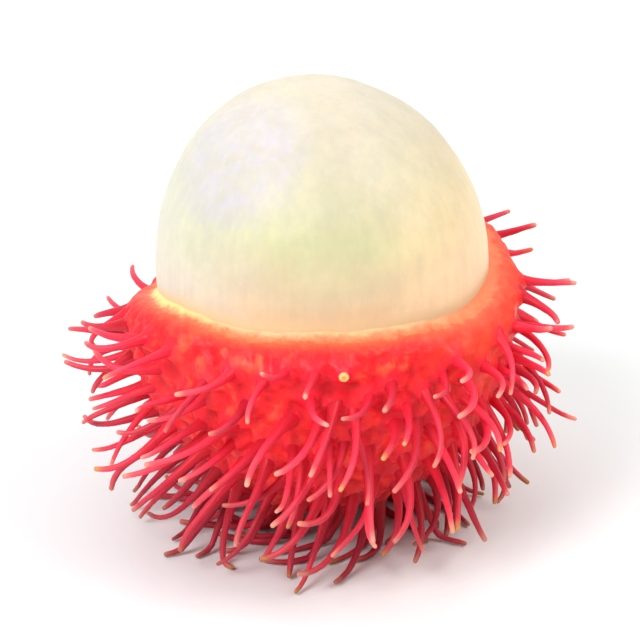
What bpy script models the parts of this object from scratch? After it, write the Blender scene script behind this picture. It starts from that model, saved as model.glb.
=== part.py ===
"""A rambutan with the top half of its rind taken off, standing on its own spines.

Two pieces: the rind, a leathery half cup that its soft spines grow out of, and the aril, the
white egg-shaped flesh that sits in it. Metres, +Z up. The surface that the fruit stands on is
z = 0, and the fruit's axis is vertical.
"""

import math
import random

import bmesh
import bpy
from mathutils import Matrix, Vector

MM = 0.001
SAME = 0.001 * MM  # lengths closer than this are equal

# The whole fruit
CENTRE_HEIGHT = 27.8 * MM  # the flesh's widest level, above the surface
SEAT_GAP = 0.3 * MM  # between the flesh and the rind

# The flesh
ARIL_RADIUS = 16.8 * MM
ARIL_TOP = 18.9 * MM  # above its widest level
ARIL_BOTTOM = 22.6 * MM  # below it
ARIL_LEAN = 1.0 * MM  # how far its top leans to the left
ARIL_SEAM_DEPTH = 0.25 * MM  # a shallow furrow down one side
ARIL_SEAM_AZIMUTH = math.radians(35)
ARIL_SEAM_WIDTH = math.radians(9)
ARIL_SEGMENTS = 40
ARIL_RINGS = 24

# The rind
RIND_RADIUS = 20.0 * MM
RIND_BOTTOM = 26.0 * MM  # below the flesh's widest level
RIM_LEVEL = -1.75 * MM  # mean level of the cut edge, counted up from the flesh's widest level
CUT_WIDTH = 0.8 * MM  # the pale band where the rind was cut
SHOULDER_DROP = 2.8 * MM  # from the cut edge down to the rind's full width
RIM_DIP = 2.9 * MM  # the cut edge runs lower at the back left
RIM_DIP_AZIMUTH = math.radians(155)
RIM_DIP_SPREAD = math.radians(36)
RIM_RISE = 3.2 * MM  # and higher at the back right
RIM_RISE_AZIMUTH = math.radians(28)
RIM_RISE_SPREAD = math.radians(30)
RIM_WAVES = (  # count round the rim, height, phase; the first two raise it in front
    (1, 0.40 * MM, math.pi),
    (2, 0.15 * MM, 1.5 * math.pi),
    (5, 0.16 * MM, 2.1),
    (9, 0.10 * MM, 4.0),
)
SLIDE_DEPTH = 14.0 * MM  # how far below the rim its unevenness dies out
CUP_SIDES = 40
INSIDE_STEPS = 7
SHOULDER_STEPS = 4
OUTSIDE_STEPS = 8
CUT_RADIUS = ARIL_RADIUS + SEAT_GAP + CUT_WIDTH

# The scar where the stalk was, in the middle of the underside
SCAR_PIT_RADIUS = 0.8 * MM
SCAR_PIT_DEPTH = 0.9 * MM
SCAR_RING_RADIUS = 1.7 * MM
SCAR_RING_RISE = 0.45 * MM
SCAR_LIP_RISE = 0.27 * MM  # the pit's edge stands a little lower than the ring
SCAR_EDGE_RADIUS = 2.9 * MM

# The spines
SPINE_COUNT = 168
SPINE_SEED = 11
SPINE_LENGTH = (8.4 * MM, 12.0 * MM)  # shortest and longest, far from the cut edge
RIM_SHORTENING = 0.36  # the share by which the spines next to the cut edge are shorter
SPINE_SUNK = 1.5 * MM  # how deep a spine's root goes into the rind
SPINE_PROFILE = ((0.0, 1.35), (0.14, 0.80), (0.42, 0.56), (0.73, 0.48), (1.0, 0.33))  # share, radius in mm
SPINE_STEPS = 24  # short straight lengths that a centre line is made of
SPINE_BEND = (0.8, 1.9)  # least and most curl
SPINE_SWIRL = (0.60, 0.40)  # mean and spread of the curl to one side, clockwise from above
SPINE_DROOP = (1.15, 0.35)  # mean and spread of the curl downwards, at the bottom of the rind
RIM_DROOP = 0.20  # its mean at the cut edge
SPINE_SWEEP = 0.35  # how far a spine leans the way that it curls, where it leaves the rind
SPINE_SCATTER = 0.11  # spread of its lean in any direction
TIP_HOOK = 0.55  # spread of the curl of its last stretch
SPINE_CANDIDATES = 5  # curls tried for each spine, of which the clearest one is kept
NEIGHBOUR_REACH = 12.0 * MM  # spines rooted further apart than this aren't compared
SCAR_CLEARANCE = math.radians(15)  # polar angle round the scar with no spines
RIM_CLEARANCE = math.radians(4)  # and below the cut edge
GOLDEN_ANGLE = math.pi * (3 - math.sqrt(5))
SPIRAL_START = math.radians(-8)  # azimuth where the spiral of roots begins, at the scar
SNAPPED_SPINE = SPINE_COUNT - 1  # the last spine, in front just below the cut edge, is a stump
SNAPPED_PARTS = 2  # and keeps only this many points of its profile
FOOT_HEIGHT = 0.34 * MM  # a resting spine's centre line, above the surface
LANDING = 1.3 * MM  # the height over which a spine that comes down on the surface levels out


def clear_scene():
    for thing in list(bpy.data.objects):
        bpy.data.objects.remove(thing, do_unlink=True)


def named_collection(name):
    collection = bpy.data.collections.new(name)
    bpy.context.scene.collection.children.link(collection)
    return collection


def plain_material(name, colour, roughness):
    material = bpy.data.materials.new(name)
    material.use_nodes = True
    shader = material.node_tree.nodes["Principled BSDF"]
    shader.inputs["Base Color"].default_value = (*colour, 1.0)
    shader.inputs["Roughness"].default_value = roughness
    shader.inputs["Metallic"].default_value = 0.0
    return material


def add_object(name, mesh, collection):
    thing = bpy.data.objects.new(name, mesh)
    collection.objects.link(thing)
    return thing


# The fruit's surfaces ------------------------------------------------------------------------


def rim_offset(azimuth):
    """How far the cut edge lies above its mean height, in this direction."""
    past_dip = math.remainder(azimuth - RIM_DIP_AZIMUTH, math.tau) / RIM_DIP_SPREAD
    past_rise = math.remainder(azimuth - RIM_RISE_AZIMUTH, math.tau) / RIM_RISE_SPREAD
    offset = RIM_RISE * math.exp(-(past_rise**2)) - RIM_DIP * math.exp(-(past_dip**2))
    for count, height, phase in RIM_WAVES:
        offset += height * math.sin(count * azimuth + phase)
    return offset


def slid(azimuth, level):
    """A level below the mean rim, moved with the uneven rim. Levels count from the centre."""
    share = 1 - min(1.0, (RIM_LEVEL - level) / SLIDE_DEPTH)
    return level + rim_offset(azimuth) * share * share * (3 - 2 * share)


def outer_width(level):
    """The rind's radius at this level: an ellipse, drawn in to the cut edge by a round shoulder."""
    width = RIND_RADIUS * math.sqrt(1 - (level / RIND_BOTTOM) ** 2)
    above = 1 - (RIM_LEVEL - level) / SHOULDER_DROP
    if above > 0:
        above = min(1.0, above)
        width -= (RIND_RADIUS - CUT_RADIUS) * (1 - math.sqrt(1 - above * above))
    return width


def rind_point(azimuth, polar):
    """A point of the rind's outside and the way out from it. polar counts up from the bottom."""
    flat_level = -RIND_BOTTOM * math.cos(polar)
    level = slid(azimuth, flat_level)
    around = Vector((math.cos(azimuth), math.sin(azimuth), 0))
    point = around * outer_width(flat_level) + Vector((0, 0, CENTRE_HEIGHT + level))
    normal = around * math.sin(polar) / RIND_RADIUS - Vector((0, 0, math.cos(polar) / RIND_BOTTOM))
    return point, normal.normalized()


# Spines ----------------------------------------------------------------------------------------


def spine_path(root, heading, length, pull, hook):
    """The centre line of one spine. pull bends it more and more, and hook only near its tip."""
    line = [root - heading * SPINE_SUNK, root]
    point = root.copy()
    for step in range(SPINE_STEPS):
        share = (step + 0.5) / SPINE_STEPS
        turn = pull * (2 * share) + hook * (4 * share**3)
        heading = (heading + turn / SPINE_STEPS).normalized()
        steepest = -(point.z - FOOT_HEIGHT) / LANDING
        if heading.z < steepest:
            heading.z = steepest
            heading.normalize()
        point = point + heading * length / SPINE_STEPS
        line.append(point.copy())
    return line


def drawn_spine(draw, root, normal, share):
    """One spine's centre line, with its length and curls drawn. share counts up to the cut edge."""
    length = draw.uniform(*SPINE_LENGTH) * (1 - RIM_SHORTENING * share * share)
    swirl = draw.gauss(*SPINE_SWIRL)
    mean_droop = SPINE_DROOP[0] + (RIM_DROOP - SPINE_DROOP[0]) * share
    droop = draw.gauss(mean_droop, SPINE_DROOP[1])
    pull = Vector((normal.y, -normal.x, 0)).normalized() * swirl + Vector((0, 0, -droop))
    pull -= normal * pull.dot(normal)
    scatter = Vector([draw.gauss(0, SPINE_SCATTER) for _ in range(3)])
    hook = Vector([draw.gauss(0, TIP_HOOK) for _ in range(3)])
    heading = (normal + pull * SPINE_SWEEP + scatter).normalized()
    return spine_path(root, heading, length, pull * draw.uniform(*SPINE_BEND), hook)


def clearance(line, others):
    """The least distance from the free half of one spine to the spines already there."""
    least = 1.0
    for other in others:
        if (line[1] - other[1]).length > NEIGHBOUR_REACH:
            continue
        for point in line[8::3]:
            for place in other[6::3]:
                least = min(least, (point - place).length)
    return least


def spine_lines():
    """Every spine's centre line: even over the rind by the golden angle, curls drawn by seed."""
    draw = random.Random(SPINE_SEED)
    rim_polar = math.acos(-RIM_LEVEL / RIND_BOTTOM)
    low, high = math.cos(SCAR_CLEARANCE), math.cos(rim_polar - RIM_CLEARANCE)
    lines = []
    for number in range(SPINE_COUNT):
        share = (number + 0.5) / SPINE_COUNT
        polar = math.acos(low + (high - low) * share) + draw.uniform(-0.012, 0.012)
        azimuth = SPIRAL_START + number * GOLDEN_ANGLE + draw.uniform(-0.03, 0.03)
        root, normal = rind_point(azimuth, polar)
        best = None
        for _ in range(SPINE_CANDIDATES):
            line = drawn_spine(draw, root, normal, share)
            room = clearance(line, lines)
            if best is None or room > best[0]:
                best = (room, line)
        lines.append(best[1])
    return lines


def along(line, share):
    """The point at this share of a centre line's free length."""
    place = 1 + share * (len(line) - 2)
    before = min(int(place), len(line) - 2)
    return line[before].lerp(line[before + 1], place - before)


def spine_object(number, line, profile, collection):
    """A tapering tube along the centre line, as a closed mesh."""
    curve = bpy.data.curves.new(f"spine_{number}", "CURVE")
    curve.dimensions = "3D"
    curve.bevel_depth = MM
    curve.bevel_resolution = 0
    curve.use_fill_caps = True
    spline = curve.splines.new("POLY")
    spline.points.add(len(profile))
    spline.points[0].co = (*line[0], 1)
    spline.points[0].radius = profile[0][1]
    for point, (share, radius) in zip(list(spline.points)[1:], profile):
        point.co = (*along(line, share), 1)
        point.radius = radius
    tube = bpy.data.objects.new(curve.name, curve)
    bpy.context.scene.collection.objects.link(tube)
    graph = bpy.context.evaluated_depsgraph_get()
    mesh = bpy.data.meshes.new_from_object(tube.evaluated_get(graph))
    bpy.data.objects.remove(tube)
    welded = bmesh.new()
    welded.from_mesh(mesh)
    bmesh.ops.remove_doubles(welded, verts=welded.verts, dist=0.00001)
    bmesh.ops.recalc_face_normals(welded, faces=welded.faces)
    welded.to_mesh(mesh)
    welded.free()
    return add_object(f"spine_{number}", mesh, collection)


# Pieces ----------------------------------------------------------------------------------------


def seat_width(level):
    """The radius of the hollow that the flesh sits in, at this level."""
    below = min(level, 0) / (ARIL_BOTTOM + SEAT_GAP)
    return (ARIL_RADIUS + SEAT_GAP) * math.sqrt(max(0.0, 1 - below * below))


def arc_points(radius, bottom, low, high, count):
    """Points of an ellipse's lower right part, between two angles from its bottom."""
    points = []
    for step in range(count + 1):
        polar = low + (high - low) * step / count
        points.append((radius * math.sin(polar), -bottom * math.cos(polar)))
    return points


def cup_profile():
    """The rind's section, from the middle of its inside, over the rim, to the scar below."""
    inner_bottom = ARIL_BOTTOM + SEAT_GAP
    inner_rim = math.acos(-RIM_LEVEL / inner_bottom)
    profile = arc_points(ARIL_RADIUS + SEAT_GAP, inner_bottom, 0, inner_rim, INSIDE_STEPS)
    for step in range(SHOULDER_STEPS):
        turn = math.pi / 2 * step / SHOULDER_STEPS
        level = RIM_LEVEL - SHOULDER_DROP * (1 - math.cos(turn))
        profile.append((outer_width(level), level))
    shoulder = math.acos((SHOULDER_DROP - RIM_LEVEL) / RIND_BOTTOM)
    scar = math.asin(SCAR_EDGE_RADIUS / RIND_RADIUS)
    profile += arc_points(RIND_RADIUS, RIND_BOTTOM, shoulder, scar, OUTSIDE_STEPS)
    profile.append((SCAR_RING_RADIUS, -RIND_BOTTOM - SCAR_RING_RISE))
    profile.append((SCAR_PIT_RADIUS, -RIND_BOTTOM - SCAR_LIP_RISE))
    profile.append((0, -RIND_BOTTOM + SCAR_PIT_DEPTH))
    return profile


def turned_mesh(name, profile, steps):
    """The profile turned once round the axis, as a plain closed mesh."""
    outline = bpy.data.meshes.new(name)
    outline.from_pydata([(x, 0, z) for x, z in profile], [(i, i + 1) for i in range(len(profile) - 1)], [])
    blank = bpy.data.objects.new(name, outline)
    bpy.context.scene.collection.objects.link(blank)
    screw = blank.modifiers.new("turn", "SCREW")
    screw.steps = steps
    screw.render_steps = steps
    screw.use_merge_vertices = True
    screw.merge_threshold = 0.00001
    graph = bpy.context.evaluated_depsgraph_get()
    mesh = bpy.data.meshes.new_from_object(blank.evaluated_get(graph))
    bpy.data.objects.remove(blank)
    return mesh


def make_cup(collection):
    """The rind without its spines. Its rim is slid up and down as the cut ran unevenly."""
    mesh = turned_mesh("rind", cup_profile(), CUP_SIDES)
    for vertex in mesh.vertices:
        azimuth = math.atan2(vertex.co.y, vertex.co.x)
        radius = math.hypot(vertex.co.x, vertex.co.y)
        level = slid(azimuth, vertex.co.z)
        if radius > SAME and abs(radius - seat_width(vertex.co.z)) < SAME:
            vertex.co.x *= seat_width(level) / radius
            vertex.co.y *= seat_width(level) / radius
        vertex.co.z = CENTRE_HEIGHT + level
    return add_object("rind", mesh, collection)


def make_rind(collection):
    """The cup joined with all of its spines, trimmed flat where they meet the surface."""
    cup = make_cup(collection)
    spines = named_collection("spines")
    for number, line in enumerate(spine_lines()):
        kept = SNAPPED_PARTS if number == SNAPPED_SPINE else len(SPINE_PROFILE)
        spine_object(number, line, SPINE_PROFILE[:kept], spines)
    join = cup.modifiers.new("spines", "BOOLEAN")
    join.operation = "UNION"
    join.operand_type = "COLLECTION"
    join.collection = spines
    join.solver = "EXACT"
    graph = bpy.context.evaluated_depsgraph_get()
    mesh = bpy.data.meshes.new_from_object(cup.evaluated_get(graph))
    cup.modifiers.clear()
    cup.data = mesh
    for spine in list(spines.objects):
        bpy.data.objects.remove(spine, do_unlink=True)
    bpy.data.collections.remove(spines)
    rest_flat(mesh)
    mesh.materials.append(plain_material("rind_skin", (0.78, 0.09, 0.07), 0.45))
    return cup


def rest_flat(mesh):
    """Trims what lies below the surface, so that each resting spine has a small flat spot."""
    trimmed = bmesh.new()
    trimmed.from_mesh(mesh)
    everything = trimmed.verts[:] + trimmed.edges[:] + trimmed.faces[:]
    bmesh.ops.bisect_plane(
        trimmed, geom=everything, dist=1e-7, plane_co=(0, 0, 0), plane_no=(0, 0, -1), clear_outer=True
    )
    open_edges = [edge for edge in trimmed.edges if edge.is_boundary]
    bmesh.ops.holes_fill(trimmed, edges=open_edges, sides=0)
    bmesh.ops.triangulate(trimmed, faces=trimmed.faces)
    trimmed.to_mesh(mesh)
    trimmed.free()


def make_aril(collection):
    """The flesh: a leaning egg that stands on its narrower end, with a shallow seam."""
    shape = bmesh.new()
    bmesh.ops.create_uvsphere(shape, u_segments=ARIL_SEGMENTS, v_segments=ARIL_RINGS, radius=1)
    for vertex in shape.verts:
        azimuth = math.atan2(vertex.co.y, vertex.co.x)
        away = math.remainder(azimuth - ARIL_SEAM_AZIMUTH, math.tau) / ARIL_SEAM_WIDTH
        flat = math.hypot(vertex.co.x, vertex.co.y)
        radius = ARIL_RADIUS - ARIL_SEAM_DEPTH * flat**2 * math.exp(-(away**2))
        lean = ARIL_LEAN * max(0.0, vertex.co.z) ** 2
        vertex.co.x = vertex.co.x * radius - lean
        vertex.co.y *= radius
        vertex.co.z = CENTRE_HEIGHT + vertex.co.z * (ARIL_TOP if vertex.co.z > 0 else ARIL_BOTTOM)
    mesh = bpy.data.meshes.new("aril")
    shape.to_mesh(mesh)
    shape.free()
    mesh.shade_smooth()
    mesh.materials.append(plain_material("aril_flesh", (0.90, 0.84, 0.68), 0.30))
    return add_object("aril", mesh, collection)


def centre_over_origin(pieces):
    """Slides the fruit so that the middle of its outline, spines and all, is over the origin."""
    corners = [vertex.co for piece in pieces for vertex in piece.data.vertices]
    middle_x = (min(c.x for c in corners) + max(c.x for c in corners)) / 2
    middle_y = (min(c.y for c in corners) + max(c.y for c in corners)) / 2
    for piece in pieces:
        piece.data.transform(Matrix.Translation((-middle_x, -middle_y, 0)))


def main():
    clear_scene()
    fruit = named_collection("rambutan")
    centre_over_origin([make_rind(fruit), make_aril(fruit)])


main()
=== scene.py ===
"""A ripe rambutan with the top half of its rind taken off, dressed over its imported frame.

The rind is a leathery cup with a pebbled skin, and every soft spine on it grows out of a small
mound. The flesh is one moist, translucent egg that sits in the cup. Metres, +Z up.
"""

import functools
import math
import random

import bmesh
import bpy
import numpy as np
from bpy.props import FloatProperty, FloatVectorProperty, IntProperty, PointerProperty
from mathutils import Matrix, Vector, noise
from mathutils.kdtree import KDTree


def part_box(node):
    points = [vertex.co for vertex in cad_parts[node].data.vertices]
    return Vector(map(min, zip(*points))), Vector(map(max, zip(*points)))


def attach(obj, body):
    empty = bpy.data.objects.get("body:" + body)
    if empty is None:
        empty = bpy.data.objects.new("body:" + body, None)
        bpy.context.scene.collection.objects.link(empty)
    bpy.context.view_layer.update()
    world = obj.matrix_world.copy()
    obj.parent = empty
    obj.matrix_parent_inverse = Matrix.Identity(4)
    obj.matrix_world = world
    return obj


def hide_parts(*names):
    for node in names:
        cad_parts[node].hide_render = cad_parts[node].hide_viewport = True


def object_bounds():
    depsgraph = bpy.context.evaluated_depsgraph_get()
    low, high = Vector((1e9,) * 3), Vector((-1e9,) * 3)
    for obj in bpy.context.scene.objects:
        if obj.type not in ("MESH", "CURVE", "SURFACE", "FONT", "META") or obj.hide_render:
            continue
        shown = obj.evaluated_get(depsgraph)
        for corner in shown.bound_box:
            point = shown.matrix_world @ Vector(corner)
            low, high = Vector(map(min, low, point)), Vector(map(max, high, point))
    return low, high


bl_info = {
    "name": "Opened rambutan",
    "version": (1, 0, 0),
    "blender": (4, 5, 0),
    "location": "3D View > Sidebar > Rambutan",
    "description": "Builds an opened rambutan: its rind, spines and flesh, on a studio floor",
    "category": "Object",
}

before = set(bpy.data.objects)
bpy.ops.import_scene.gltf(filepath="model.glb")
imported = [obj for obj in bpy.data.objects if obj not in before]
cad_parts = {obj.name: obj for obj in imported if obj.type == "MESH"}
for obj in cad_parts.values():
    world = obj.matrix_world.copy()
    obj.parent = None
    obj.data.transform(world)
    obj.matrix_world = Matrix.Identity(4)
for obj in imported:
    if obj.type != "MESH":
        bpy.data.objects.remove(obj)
CAD_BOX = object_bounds()

MM = 0.001

# The fruit as it was grown: the same driving sizes as its solids have
CENTRE_HEIGHT = 27.8 * MM  # the flesh's widest level, above the surface
SEAT_GAP = 0.3 * MM
ARIL_RADIUS = 16.8 * MM
ARIL_TOP = 18.9 * MM  # above its widest level
ARIL_BOTTOM = 22.6 * MM  # below it
ARIL_LEAN = 1.0 * MM  # how far its top leans to the left
ARIL_SEAM_DEPTH = 0.25 * MM
ARIL_SEAM_AZIMUTH = math.radians(35)
ARIL_SEAM_WIDTH = math.radians(9)

RIND_RADIUS = 20.0 * MM
RIND_BOTTOM = 26.0 * MM
RIM_LEVEL = -1.75 * MM  # mean level of the cut edge, counted up from the flesh's widest level
CUT_WIDTH = 0.8 * MM
CUT_RADIUS = ARIL_RADIUS + SEAT_GAP + CUT_WIDTH
SHOULDER_DROP = 2.8 * MM
RIM_DIP = 2.9 * MM
RIM_DIP_AZIMUTH = math.radians(155)
RIM_DIP_SPREAD = math.radians(36)
RIM_RISE = 3.2 * MM
RIM_RISE_AZIMUTH = math.radians(28)
RIM_RISE_SPREAD = math.radians(30)
RIM_WAVES = (  # count round the rim, height, phase
    (1, 0.40 * MM, math.pi),
    (2, 0.15 * MM, 1.5 * math.pi),
    (5, 0.16 * MM, 2.1),
    (9, 0.10 * MM, 4.0),
)
SLIDE_DEPTH = 14.0 * MM

SPINE_COUNT = 168
SPINE_SEED = 11
SPINE_LENGTH = (8.4 * MM, 12.0 * MM)
RIM_SHORTENING = 0.36
SPINE_SUNK = 1.5 * MM
SPINE_BEND = (0.8, 1.9)
SPINE_SWIRL = (0.60, 0.40)  # mean and spread
SPINE_DROOP = (1.15, 0.35)  # mean at the bottom, falling to RIM_DROOP at the rim, and spread
RIM_DROOP = 0.20
SPINE_SWEEP = 0.35  # how far a spine leans the way that it curls, where it leaves the skin
SPINE_SCATTER = 0.11
TIP_HOOK = 0.55
SPINE_CANDIDATES = 5
NEIGHBOUR_REACH = 12.0 * MM
OWN_POINTS = slice(8, None, 3)  # the points of a new centre line that are kept clear
NEIGHBOUR_POINTS = slice(6, None, 3)  # of these points of the others
SCAR_CLEARANCE = math.radians(15)
RIM_CLEARANCE = math.radians(4)
GOLDEN_ANGLE = math.pi * (3 - math.sqrt(5))
SPIRAL_START = math.radians(-8)
POLAR_JITTER = 0.012
AZIMUTH_JITTER = 0.03
SNAPPED_SPINE = SPINE_COUNT - 1
FOOT_HEIGHT = 0.34 * MM
LANDING = 1.3 * MM

FILLER_COUNT = 92  # finer spines between the solids' own
FILLER_SEED = 23
FILLER_PLACES = 14  # places tried for each, of which the widest is kept

SPINE_NECK_RADIUS = 0.41 * MM  # of the shaft where the flare of its foot ends
SPINE_TIP_RADIUS = 0.24 * MM
SPINE_NARROWING = 0.8  # under 1, the shaft narrows more towards its tip
SPINE_FLARE = 0.55 * MM  # added at the foot
SPINE_FLARE_SHARE = 0.15  # of the length, over which the flare dies out
SPINE_THICKNESS = (0.84, 1.10)  # least and most, as shares of the usual radius
SPINE_RINGS = 16
SPINE_RING_SPACING = 1.25  # over 1, the rings are closer at the foot
SPINE_TIP_TURNS = (0.0, 0.5, 1.0, 1.4)  # rings round the blunt tip, as angles
SPINE_TINT_SEED = 5

STUMP_HEIGHT = 1.3 * MM
STUMP_SUNK = 0.5  # how far under the skin it starts, as a share of its height
STUMP_TAPER = 0.26  # how much of a whole spine's narrowing the stump shows
STUMP_DOME = 0.12 * MM
STUMP_ROUGHNESS = 0.12 * MM
STUMP_GRAIN = 0.5 * MM
STUMP_RINGS = 9
STUMP_END_RINGS = (0.94, 0.8, 0.55, 0.28)  # across its broken end, as shares of the radius
STUMP_SIDES = 24

SCAR_PIT_RADIUS = 0.8 * MM
SCAR_PIT_DEPTH = 1.3 * MM
SCAR_RING_RADIUS = 1.7 * MM
SCAR_RING_WIDTH = 0.7 * MM
SCAR_RING_RISE = 0.45 * MM
SCAR_EDGE_RADIUS = 2.9 * MM
SCAR_RUN = 20.0 * MM  # only past this, down the outside, can a point be on the scar
SCAR_SMOOTHING = 0.7  # of the skin's pebbling that is missing on the scar

PAINTED_SHADE_BELOW = 15.0 * MM  # under this height the rind and its spines are painted darker, as painted shade
PAINTED_SHADE_DEEPEST = 1.0 * MM  # and here they are darkest
PAINTED_UNDERSIDE_SHADE = 0.60
MOUND_START = 1.4 * MM  # below the cut, where the skin's relief reaches its full height
LIP_BITE = 0.05 * MM  # how far the rind's inner wall goes into the flesh at the cut
LIP_DEPTH = 4.0 * MM  # how far down the inner wall closes on the flesh
LIP_RISE = 0.75 * MM  # from the cut's outer edge up to where it meets the flesh
CUT_RAGGEDNESS = 0.16 * MM
CUT_RAGGED_SIZE = 2.4 * MM

LUMP_SMOOTHNESS = 0.6  # of the skin's pebbling
LUMP_STEP = 2.1  # how many times finer each size of lump is than the one before
DENT_SIZES = (3.1, 11.0)  # broad and fine, as how often they come in the flesh's radius
FINE_DENTS = 0.35  # against the broad ones
DENT_SINK = 0.6  # keeps the surface mostly just inside the true egg

# Where the skin's colours change, in mm down the outside from the cut's outer edge
RIGHT_LIGHT_RUN = (16.0, 2.0)
INSIDE_RUN = (-0.8, -1.1)
# The same, counted from the cut's inner edge
SHOULDER_RUN = (0.0, 3.0)
EDGE_RUN = (0.5, 0.0)
SKIN_RUN = (1.0, 2.9)
# And in mm from a spine's root, and from the middle of the scar
ROOT_REACH = (2.0, 0.6)
SCAR_COLOURS = (0.0, 3.6)
SCAR_BORDER = (3.4, 2.3)

GREENER_BELOW = (12.0 * MM, 2.0 * MM)  # falling from one height to the other, more tips are green
TIP_SHARES = (0.84, 1.06)  # of the length, over which the tip's colour comes in

LIP_BAND = 1.5  # mm above the lip, over which the painted light along the lip fades out of the flesh
HIGHLIGHT_PLACE = (-8.3 * MM, -7.2 * MM, CENTRE_HEIGHT + 14.2 * MM)  # the middle of the painted highlight
HIGHLIGHT_REACH = 9.2 * MM
FIBRE_WIDTH = 0.8 * MM
FIBRE_LENGTH = 7.0 * MM

# How finely the pieces are made
SKIN_SIDES = 480
SKIN_STEP = 0.26 * MM  # between rows down the outside
INSIDE_ROWS = 16
INSIDE_SPACING = 1.8  # over 1, the inner rows are closer towards the cut
CUT_ROWS = 12
SHOULDER_SAMPLES = 200
BODY_SAMPLES = 1200
ARIL_SEGMENTS = 192
ARIL_RINGS = 128
SPINE_STEPS = 24

# The camera and where it looks from
CAMERA_ELEVATION = 24  # degrees
CAMERA_LENS = 150.0  # mm, on a sensor of 36 mm
CAMERA_SENSOR = 36.0
FRUIT_SHARE = 0.80  # of the picture's width that the fruit fills
CAMERA_AIM_DROP = -2.0 * MM  # from the middle of the fruit's box to where the camera aims

# The studio
FLOOR_SIZE = 6.0
STUDIO_LIGHTS = (  # name, azimuth, elevation, distance, size, power, tint
    ("key", -42, 38, 0.90, 0.40, 7.2, (1.0, 1.0, 1.0)),
    ("veil", -128, 46, 0.70, 0.60, 0.8, (0.97, 0.98, 1.0)),
    ("overhead", 0, 85, 0.80, 0.50, 0.3, (1.0, 1.0, 1.0)),
    ("right_high", 78, 48, 0.90, 0.40, 4.3, (1.0, 0.95, 0.88)),
)


def fruit_shift():
    """From the fruit's own frame, where the axis is x = y = 0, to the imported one."""
    low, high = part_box("aril")
    return Vector((high.x - ARIL_RADIUS, (low.y + high.y) / 2, high.z - ARIL_TOP - CENTRE_HEIGHT))


# The fruit's surfaces


def rim_offset(azimuth):
    """How far the cut edge lies above its mean height, in this direction."""
    past_dip = math.remainder(azimuth - RIM_DIP_AZIMUTH, math.tau) / RIM_DIP_SPREAD
    past_rise = math.remainder(azimuth - RIM_RISE_AZIMUTH, math.tau) / RIM_RISE_SPREAD
    offset = RIM_RISE * math.exp(-(past_rise**2)) - RIM_DIP * math.exp(-(past_dip**2))
    for count, height, phase in RIM_WAVES:
        offset += height * math.sin(count * azimuth + phase)
    return offset


def slid(azimuth, level):
    """A level below the mean rim, moved with the uneven rim. Levels count from the centre."""
    share = 1 - min(1.0, (RIM_LEVEL - level) / SLIDE_DEPTH)
    return level + rim_offset(azimuth) * share * share * (3 - 2 * share)


def outer_width(level):
    """The rind's radius at this level: an ellipse, drawn in to the cut edge by a round shoulder."""
    width = RIND_RADIUS * math.sqrt(1 - (level / RIND_BOTTOM) ** 2)
    above = 1 - (RIM_LEVEL - level) / SHOULDER_DROP
    if above > 0:
        above = min(1.0, above)
        width -= (RIND_RADIUS - CUT_RADIUS) * (1 - math.sqrt(1 - above * above))
    return width


def rind_point(azimuth, polar):
    """A point of the rind's outside and the way out from it. polar counts up from the bottom."""
    flat_level = -RIND_BOTTOM * math.cos(polar)
    level = slid(azimuth, flat_level)
    around = Vector((math.cos(azimuth), math.sin(azimuth), 0))
    point = around * outer_width(flat_level) + Vector((0, 0, CENTRE_HEIGHT + level))
    normal = around * math.sin(polar) / RIND_RADIUS - Vector((0, 0, math.cos(polar) / RIND_BOTTOM))
    return point, normal.normalized()


# The spines' centre lines


def spine_path(root, heading, length, pull, hook):
    """The centre line of one spine. pull bends it more and more, and hook only near its tip."""
    line = [root - heading * SPINE_SUNK, root]
    point = root.copy()
    for step in range(SPINE_STEPS):
        share = (step + 0.5) / SPINE_STEPS
        turn = pull * (2 * share) + hook * (4 * share**3)
        heading = (heading + turn / SPINE_STEPS).normalized()
        steepest = -(point.z - FOOT_HEIGHT) / LANDING
        if heading.z < steepest:
            heading.z = steepest
            heading.normalize()
        point = point + heading * length / SPINE_STEPS
        line.append(point.copy())
    return line


def drawn_spine(draw, root, normal, share):
    """One spine's centre line, with its length and curls drawn. share counts up to the cut edge."""
    length = draw.uniform(*SPINE_LENGTH) * (1 - RIM_SHORTENING * share * share)
    swirl = draw.gauss(*SPINE_SWIRL)
    mean_droop = SPINE_DROOP[0] + (RIM_DROOP - SPINE_DROOP[0]) * share
    droop = draw.gauss(mean_droop, SPINE_DROOP[1])
    pull = Vector((normal.y, -normal.x, 0)).normalized() * swirl + Vector((0, 0, -droop))
    pull -= normal * pull.dot(normal)
    scatter = Vector([draw.gauss(0, SPINE_SCATTER) for _ in range(3)])
    hook = Vector([draw.gauss(0, TIP_HOOK) for _ in range(3)])
    heading = (normal + pull * SPINE_SWEEP + scatter).normalized()
    return spine_path(root, heading, length, pull * draw.uniform(*SPINE_BEND), hook)


def clearance(line, others):
    """The least distance from a new spine's free part to the spines already there."""
    least = 1.0
    for other in others:
        if (line[1] - other[1]).length > NEIGHBOUR_REACH:
            continue
        for point in line[OWN_POINTS]:
            for place in other[NEIGHBOUR_POINTS]:
                least = min(least, (point - place).length)
    return least


def clearest_spine(draw, root, normal, share, others):
    """Of a few spines drawn for this root, the one that is furthest from the others."""
    best = None
    for _ in range(SPINE_CANDIDATES):
        line = drawn_spine(draw, root, normal, share)
        room = clearance(line, others)
        if best is None or room > best[0]:
            best = (room, line)
    return best[1]


def polar_limits():
    """The cosines of the polar angles between which spines grow, from the scar up to the cut."""
    rim_polar = math.acos(-RIM_LEVEL / RIND_BOTTOM)
    return math.cos(SCAR_CLEARANCE), math.cos(rim_polar - RIM_CLEARANCE)


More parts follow.
